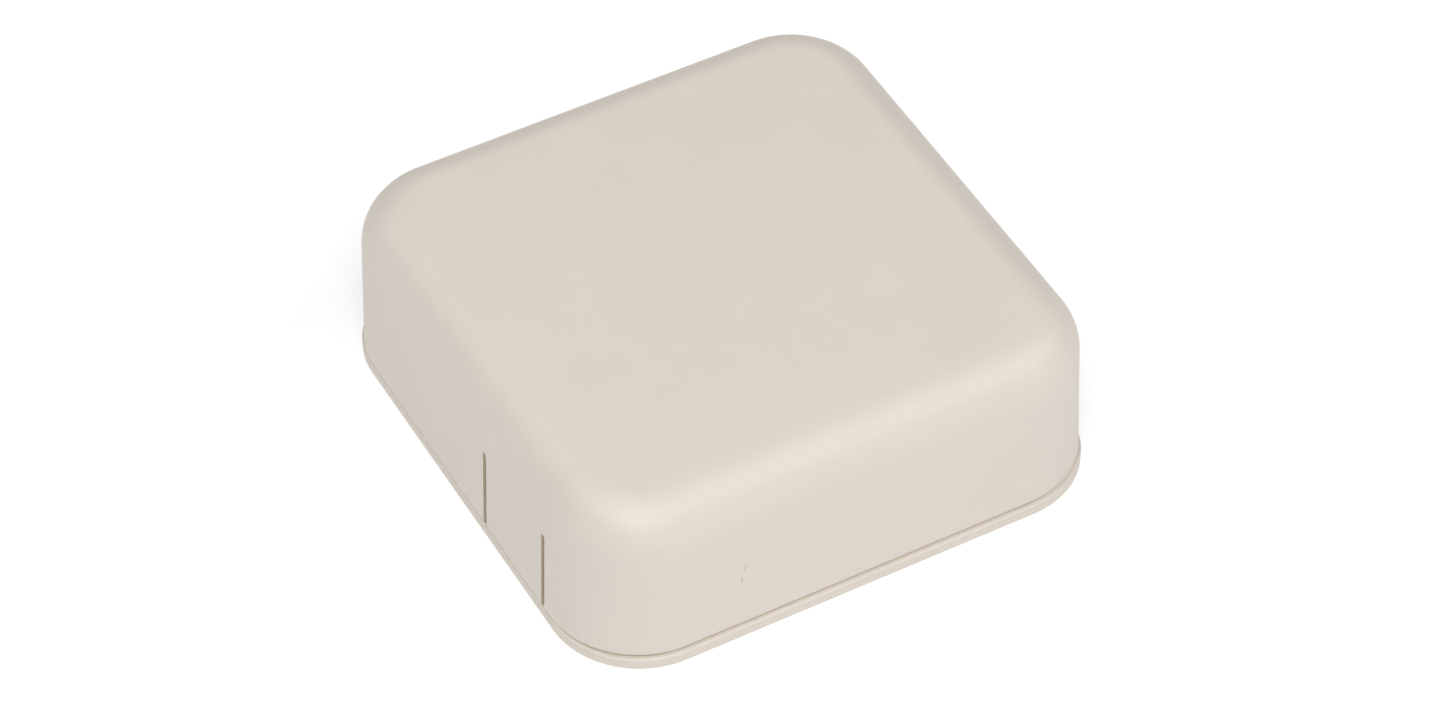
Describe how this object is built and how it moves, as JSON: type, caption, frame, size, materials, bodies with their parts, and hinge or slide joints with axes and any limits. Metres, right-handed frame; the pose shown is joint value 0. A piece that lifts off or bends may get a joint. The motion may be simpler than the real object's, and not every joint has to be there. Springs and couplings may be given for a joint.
{
  "type": "ceiling access point",
  "caption": "Square ceiling access point: rounded drop-on cover with a spring release tongue, on a flat screw-fixed base plate that carries the radio board.",
  "frame": {"origin": "middle of the underside of the base plate, the face that lies against the ceiling", "axes": "+Z out of the ceiling through the cover, -Y towards the wall that holds the release tongue, +X towards the wall nearest the tongue"},
  "size_m": [0.12, 0.1186, 0.04],
  "materials": {
    "cover_plastic": "fine matte moulded texture, warm light beige",
    "base_plastic": "fine matte moulded texture, warm light beige",
    "label_film": "satin printed film, blank",
    "board_laminate": "glass-epoxy laminate with green solder mask",
    "aerial_laminate": "thin glass-epoxy laminate with copper pattern",
    "chip_epoxy": "black moulding compound",
    "processor_lid": "nickel-plated lid on a dark carrier",
    "thermal_sheet": "soft thermal interface sheet",
    "sink_aluminium": "extruded, clear anodised",
    "spreader_aluminium": "rolled sheet, punched",
    "screw_steel": "zinc-plated",
    "tinned_sheet": "bright tinned sheet",
    "jack_plastic": "black glass-filled moulding",
    "gold_plate": "gold-plated contact metal",
    "ferrite": "sintered dark grey ferrite",
    "winding_tape": "amber tape over the winding",
    "can_sleeve": "drawn aluminium can with a dark polarity mark",
    "crystal_can": "lidded metal can",
    "chip_ceramic": "small ceramic chips with tinned ends",
    "header_plastic": "black strip with gold-plated pins",
    "lead_jacket": "thin coaxial lead, dark jacket",
    "lamp_package": "white lamp package",
    "clear_acrylic": "clear moulded light guide",
    "switch_case": "black switch case",
    "button_plastic": "coloured plunger"
  },
  "bodies": {
    "base": {"base_plate": "base_plastic", "rating_label": "label_film", "main_board": "board_laminate", "board_screws": "screw_steel", "main_processor": "processor_lid", "thermal_tape": "thermal_sheet", "heat_sink": "sink_aluminium", "heat_spreader": "spreader_aluminium", "thermal_pad": "thermal_sheet", "jack_shell": "tinned_sheet", "jack_insert": "jack_plastic", "jack_contacts": "gold_plate", "network_magnetics": "chip_epoxy", "transformer_core": "ferrite", "transformer_bobbin": "winding_tape", "bulk_capacitors": "can_sleeve", "filter_capacitors": "can_sleeve", "power_inductor": "ferrite", "bridge_rectifier": "chip_epoxy", "flash_chip": "chip_epoxy", "memory_chips": "chip_epoxy", "crystal": "crystal_can", "chip_passives": "chip_ceramic", "service_header": "header_plastic", "shield_can_right": "tinned_sheet", "shield_can_left": "tinned_sheet", "radio_chip_right": "chip_epoxy", "radio_chip_left": "chip_epoxy", "stamped_aerial_right": "tinned_sheet", "stamped_aerial_left": "tinned_sheet", "aerial_board_right": "aerial_laminate", "aerial_board_left": "aerial_laminate", "coax_plug_right": "gold_plate", "coax_plug_left": "gold_plate", "coax_lead_right": "lead_jacket", "coax_lead_left": "lead_jacket", "status_lamp": "lamp_package", "reset_switch": "switch_case"},
    "cover": {"top_cover": "cover_plastic", "light_pipe": "clear_acrylic"},
    "tongue": {"release_tongue": "cover_plastic"},
    "reset_button": {"reset_plunger": "button_plastic"}
  },
  "joints": [
    {"name": "cover_lift", "type": "slide", "parent": "base", "child": "cover", "axis": [0, 0, 1], "range_m": [0, 0.045]},
    {"name": "tongue_flex", "type": "hinge", "parent": "cover", "child": "tongue", "pos_m": [0.0237, -0.05606, 0.02285], "axis": [1, 0, 0], "range_deg": [0, 5], "stiffness_Nm_per_rad": 2},
    {"name": "reset_press", "type": "slide", "parent": "base", "child": "reset_button", "axis": [0, 0, -1], "range_m": [0, 0.00025], "stiffness_N_per_m": 4000}
  ]
}
